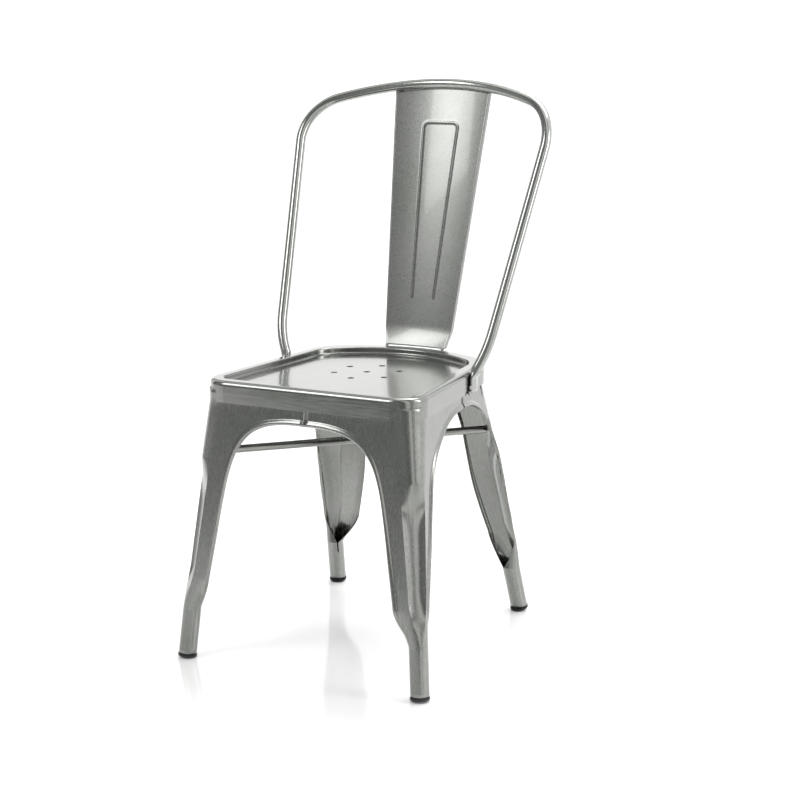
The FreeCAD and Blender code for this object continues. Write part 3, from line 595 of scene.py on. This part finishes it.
def girth(z, rear):
    """Points all the way round the closing shoulder, from the end web's edge to the side web's."""
    sign = 1 if rear else -1
    c = corner(z, rear)
    top = corner(SHOULDER_TOP, rear)
    end_length = top.x - ARCHES[rear][0][-1][0] - reach(SHOULDER_TOP)
    side_length = abs(top.y - ARCHES[rear][1][-1][0]) - side_reach(SHOULDER_TOP, rear)
    start, side_start = reach(SHOULDER_TOP), side_reach(SHOULDER_TOP, rear)
    closed = ((SHOULDER_TOP - z) / (SHOULDER_TOP - SHOULDER_END)) ** SHOULDER_CURL
    web_share = (1 - CORNER_SHARE) / 2
    flat = []
    for d, lift in web_columns(end_length):
        p = web_end(c.x - start - (end_length - d), z, rear) + Vector((0, sign * lift * (1 - closed), 0))
        flat.append((p, web_share * d / end_length))
    a = web_end(c.x - start, z, rear)
    b = web_side(c.y - sign * side_start, z, rear)
    columns, w = corner_columns(z)
    for t in columns[1:-1]:
        flat.append((corner_point(a, c, b, t, w), web_share + CORNER_SHARE * t))
    side = []
    for d, lift in web_columns(side_length):
        y = c.y - sign * (side_start + side_length - d)
        p = web_side(y, z, rear) + Vector((lift * (1 - closed), 0, 0))
        side.append((p, 1 - web_share * d / side_length))
    flat += reversed(side)
    return [p * (1 - closed) + round_point(z, rear, s) * closed for p, s in flat], [s for p, s in flat]


def leg_mesh(rear):
    """Both webs, the corner with its groove, the closing shoulder and the tube, as one sheet."""
    end_rows = web_patch(rear, True)
    side_rows = web_patch(rear, False)
    points, faces = [], []
    index = {}

    def place(p):
        key = (round(p.x, 3), round(p.y, 3), round(p.z, 3))
        if key not in index:
            index[key] = len(points)
            points.append(p)
        return index[key]

    def strip(rows, flip):
        ids = [[place(p) for p in row] for row in rows]
        for upper, lower in zip(ids, ids[1:]):
            for j in range(len(upper) - 1):
                quad = [upper[j], upper[j + 1], lower[j + 1], lower[j]]
                quad = [q for k, q in enumerate(quad) if q != quad[k - 1]]
                if len(quad) > 2:
                    faces.append(tuple(reversed(quad)) if flip else tuple(quad))

    strip(end_rows, not rear)
    strip(side_rows, rear)
    bend_rows = []
    heights = corner_heights()
    for z, end_row, side_row in zip(heights, end_rows[-len(heights):], side_rows[-len(heights):]):
        a, b, c = end_row[-1], side_row[-1], corner(z, rear)
        columns, w = corner_columns(z)
        bend_rows.append([a] + [corner_point(a, c, b, t, w) for t in columns[1:-1]] + [b])
    strip(bend_rows, not rear)
    rows = []
    for k in range(SHOULDER_STEPS + 1):
        row, shares = girth(mix(SHOULDER_TOP, SHOULDER_END, k / SHOULDER_STEPS), rear)
        rows.append(row)
    for z in TUBE_HEIGHTS:
        rows.append([round_point(z, rear, s) for s in shares])
    strip(rows, not rear)
    return points, faces


for rear in (False, True):
    points, faces = leg_mesh(rear)
    end = "rear" if rear else "front"
    piece("show_leg_%s_right" % end, points, faces, "leg_steel", "leg_%s_right" % end, SHEET)
    mirrored = [Vector((-p.x, p.y, p.z)) for p in points]
    turned = [tuple(reversed(face)) for face in faces]
    piece("show_leg_%s_left" % end, mirrored, turned, "leg_steel", "leg_%s_left" % end, SHEET)


# ---------------------------------------------------------------- hoop

CROWN_Z, CROWN_RADIUS, BEND_RADIUS = 842.0, 640.0, 62.0
HOOP_AT_500, HOOP_SLOPE, HOOP_LEAN, ROLL_RADIUS, HOOP_Y0 = 185.8, 0.116, 0.502, 450.0, -136.5
TUCK_START, TUCK_RADIUS, TUCK_ANGLE = 486.0, 160.0, math.radians(28)
TUBE, FLAT, FLAT_WIDE, HOOP_END, HOOP_WALL = 8.0, 4.0, 11.0, 397.0, 1.5


def hoop_half():
    """Half of the hoop's centre line, from the crown to the start of its flattened end."""
    norm = math.hypot(1, HOOP_SLOPE)
    centre = CROWN_Z - CROWN_RADIUS
    low, high = 600.0, CROWN_Z
    for _ in range(60):
        z = (low + high) / 2
        cx = HOOP_AT_500 + HOOP_SLOPE * (z - 500) - BEND_RADIUS / norm
        cz = z + BEND_RADIUS * HOOP_SLOPE / norm
        if math.hypot(cx, cz - centre) < CROWN_RADIUS - BEND_RADIUS:
            low = z
        else:
            high = z
    join = math.atan2(cx, cz - centre)
    flat = [(CROWN_RADIUS * math.sin(join * k / 20), centre + CROWN_RADIUS * math.cos(join * k / 20))
            for k in range(20)]
    slope = math.atan(HOOP_SLOPE)
    for k in range(25):
        angle = mix(join, math.pi / 2 + slope, k / 24)
        flat.append((cx + BEND_RADIUS * math.sin(angle), cz + BEND_RADIUS * math.cos(angle)))
    side_z = flat[-1][1]
    flat += [(HOOP_AT_500 + HOOP_SLOPE * (h - 500), h)
             for h in (mix(side_z, TUCK_START, k / 16) for k in range(1, 16))]
    x = HOOP_AT_500 + HOOP_SLOPE * (TUCK_START - 500)
    for k in range(13):
        angle = mix(slope, TUCK_ANGLE, k / 12)
        flat.append((x - TUCK_RADIUS * (math.cos(slope) - math.cos(angle)),
                     TUCK_START - TUCK_RADIUS * (math.sin(angle) - math.sin(slope))))
    return [Vector((px, HOOP_Y0 + HOOP_LEAN * pz - px * px / (2 * ROLL_RADIUS), pz)) for px, pz in flat]


def hoop_stations():
    """The whole centre line, each point with the tube's half thickness and half width there."""
    half = hoop_half()
    stations = [(p, TUBE, TUBE) for p in half]
    end = half[-1]
    y = end.y - 1.5
    flat_x = side_line(y) + FLAT + 0.1
    turn = [(Vector((mix(end.x, flat_x, smooth(k / 8)), mix(end.y, y, k / 8), end.z - 14 * k / 8)), k / 8)
            for k in range(1, 9)]
    stations += [(p, mix(TUBE, FLAT, smooth(t)), mix(TUBE, FLAT_WIDE, smooth(t))) for p, t in turn]
    stations.append((Vector((flat_x, y, HOOP_END + 3)), FLAT, FLAT_WIDE))
    stations.append((Vector((flat_x, y, HOOP_END)), FLAT, FLAT_WIDE))
    other = [(Vector((-p.x, p.y, p.z)), thin, wide) for p, thin, wide in reversed(stations[1:])]
    return other + stations


def show_hoop():
    """The tube's outside, as rings along its centre line."""
    stations = hoop_stations()
    around = 28
    points, faces = [], []
    for i, (p, thin, wide) in enumerate(stations):
        ahead = stations[min(i + 1, len(stations) - 1)][0] - stations[max(i - 1, 0)][0]
        ahead.normalize()
        across = Vector((0, 1, 0))
        across = (across - ahead * across.dot(ahead)).normalized()
        aside = across.cross(ahead)
        for k in range(around):
            angle = 2 * math.pi * k / around
            points.append(p + aside * (thin * math.cos(angle)) + across * (wide * math.sin(angle)))
    for i in range(len(stations) - 1):
        for k in range(around):
            a, b = i * around + k, i * around + (k + 1) % around
            faces.append((a, b, b + around, a + around))
    return points, faces


points, faces = show_hoop()
piece("show_hoop", points, faces, "tube_steel", "back_hoop", HOOP_WALL)


# ---------------------------------------------------------------- splat

SPLAT_HALF, SPLAT_GROW, SPLAT_Y, SPLAT_LEAN, SPLAT_RADIUS = 61.7, 0.0675, 194.6, 0.247, 380.0
FOOT_Z, FOOT_RISE, FOOT_REACH, FOOT_HALF, RETURN = 430.0, 32.0, 6.0, 53.0, 9.0
RIB_WIDTH, RIB_RISE, RIB_CORNER = 4.6, 1.2, 9.0
RIB_TOP, RIB_TOP_HALF, RIB_END, RIB_END_HALF = 781.0, 30.8, 507.0, 19.4
SPLAT_ACROSS, SPLAT_UP, FOOT_ROWS = 120, 240, 16
RETURN_STEPS = (0.35, 1.0, 4.0, RETURN)       # how far back each extra column lies behind the splat's edge
EDGE_ROUND = 1.3


def splat_half(z):
    if z < FOOT_Z + FOOT_RISE:
        top = SPLAT_HALF + SPLAT_GROW * (FOOT_Z + FOOT_RISE - 500)
        return mix(FOOT_HALF, top, smooth((z - FOOT_Z) / FOOT_RISE))
    return SPLAT_HALF + SPLAT_GROW * (z - 500)


def splat_y(x, z):
    """The dished face of the splat, which curls forwards at its foot."""
    half = SPLAT_HALF + SPLAT_GROW * (z - 500)
    curl = max(0.0, (FOOT_Z + FOOT_RISE - z) / FOOT_RISE)
    dish = (half * half - x * x) / (2 * SPLAT_RADIUS)
    return SPLAT_Y + SPLAT_LEAN * (z - 500) + dish - FOOT_REACH * curl * curl


def rib_height(x, z):
    """The rib's profile at a point of the splat, from its distance to the middle of the rib."""
    lean = (RIB_TOP_HALF - RIB_END_HALF) / (RIB_TOP - RIB_END)
    x = abs(x)
    side = x - (RIB_END_HALF + lean * (z - RIB_END))
    over = z - (RIB_TOP - RIB_CORNER)
    if over > 0 and side > -RIB_CORNER:
        distance = math.hypot(side + RIB_CORNER, over) - RIB_CORNER
    elif over > 0:
        distance = z - RIB_TOP
    else:
        distance = side
    low = max(0.0, RIB_END - z)
    share = min(1.0, math.hypot(distance, low) / (RIB_WIDTH / 2 + 0.4))
    return RIB_RISE * (0.5 + 0.5 * math.cos(math.pi * share))


def splat_top(x):
    return CROWN_Z - CROWN_RADIUS + math.sqrt((CROWN_RADIUS - TUBE - 0.1) ** 2 - x * x)


def show_splat():
    """The splat's front face with its rib, and a narrow strip turned back along each edge."""
    turned = len(RETURN_STEPS)
    feet = [FOOT_Z + FOOT_RISE * (k / FOOT_ROWS) for k in range(FOOT_ROWS)]
    rows = []
    for i in range(FOOT_ROWS + SPLAT_UP + 1):
        share = max(0.0, (i - FOOT_ROWS) / SPLAT_UP)
        row = []
        for k in range(-turned, SPLAT_ACROSS + turned + 1):
            t = max(-1.0, min(1.0, 2 * k / SPLAT_ACROSS - 1))
            x = t * 80.0
            for _ in range(4):
                z = feet[i] if i < FOOT_ROWS else mix(FOOT_Z + FOOT_RISE, splat_top(x), share)
                x = t * splat_half(z)
            beyond = max(-k, k - SPLAT_ACROSS, 0)
            y = splat_y(x, z)
            if beyond:
                y += RETURN_STEPS[beyond - 1]
            else:
                from_edge = (1 - abs(t)) * splat_half(z)
                y += 0.25 * max(0.0, EDGE_ROUND - from_edge) - rib_height(x, z)
            row.append(Vector((x, y, z)))
        rows.append(row)
    points = [p for row in rows for p in row]
    return points, grid_faces(len(rows), len(rows[0]))


points, faces = show_splat()
piece("show_splat", points, faces, "splat_steel", "back_splat", SHEET)
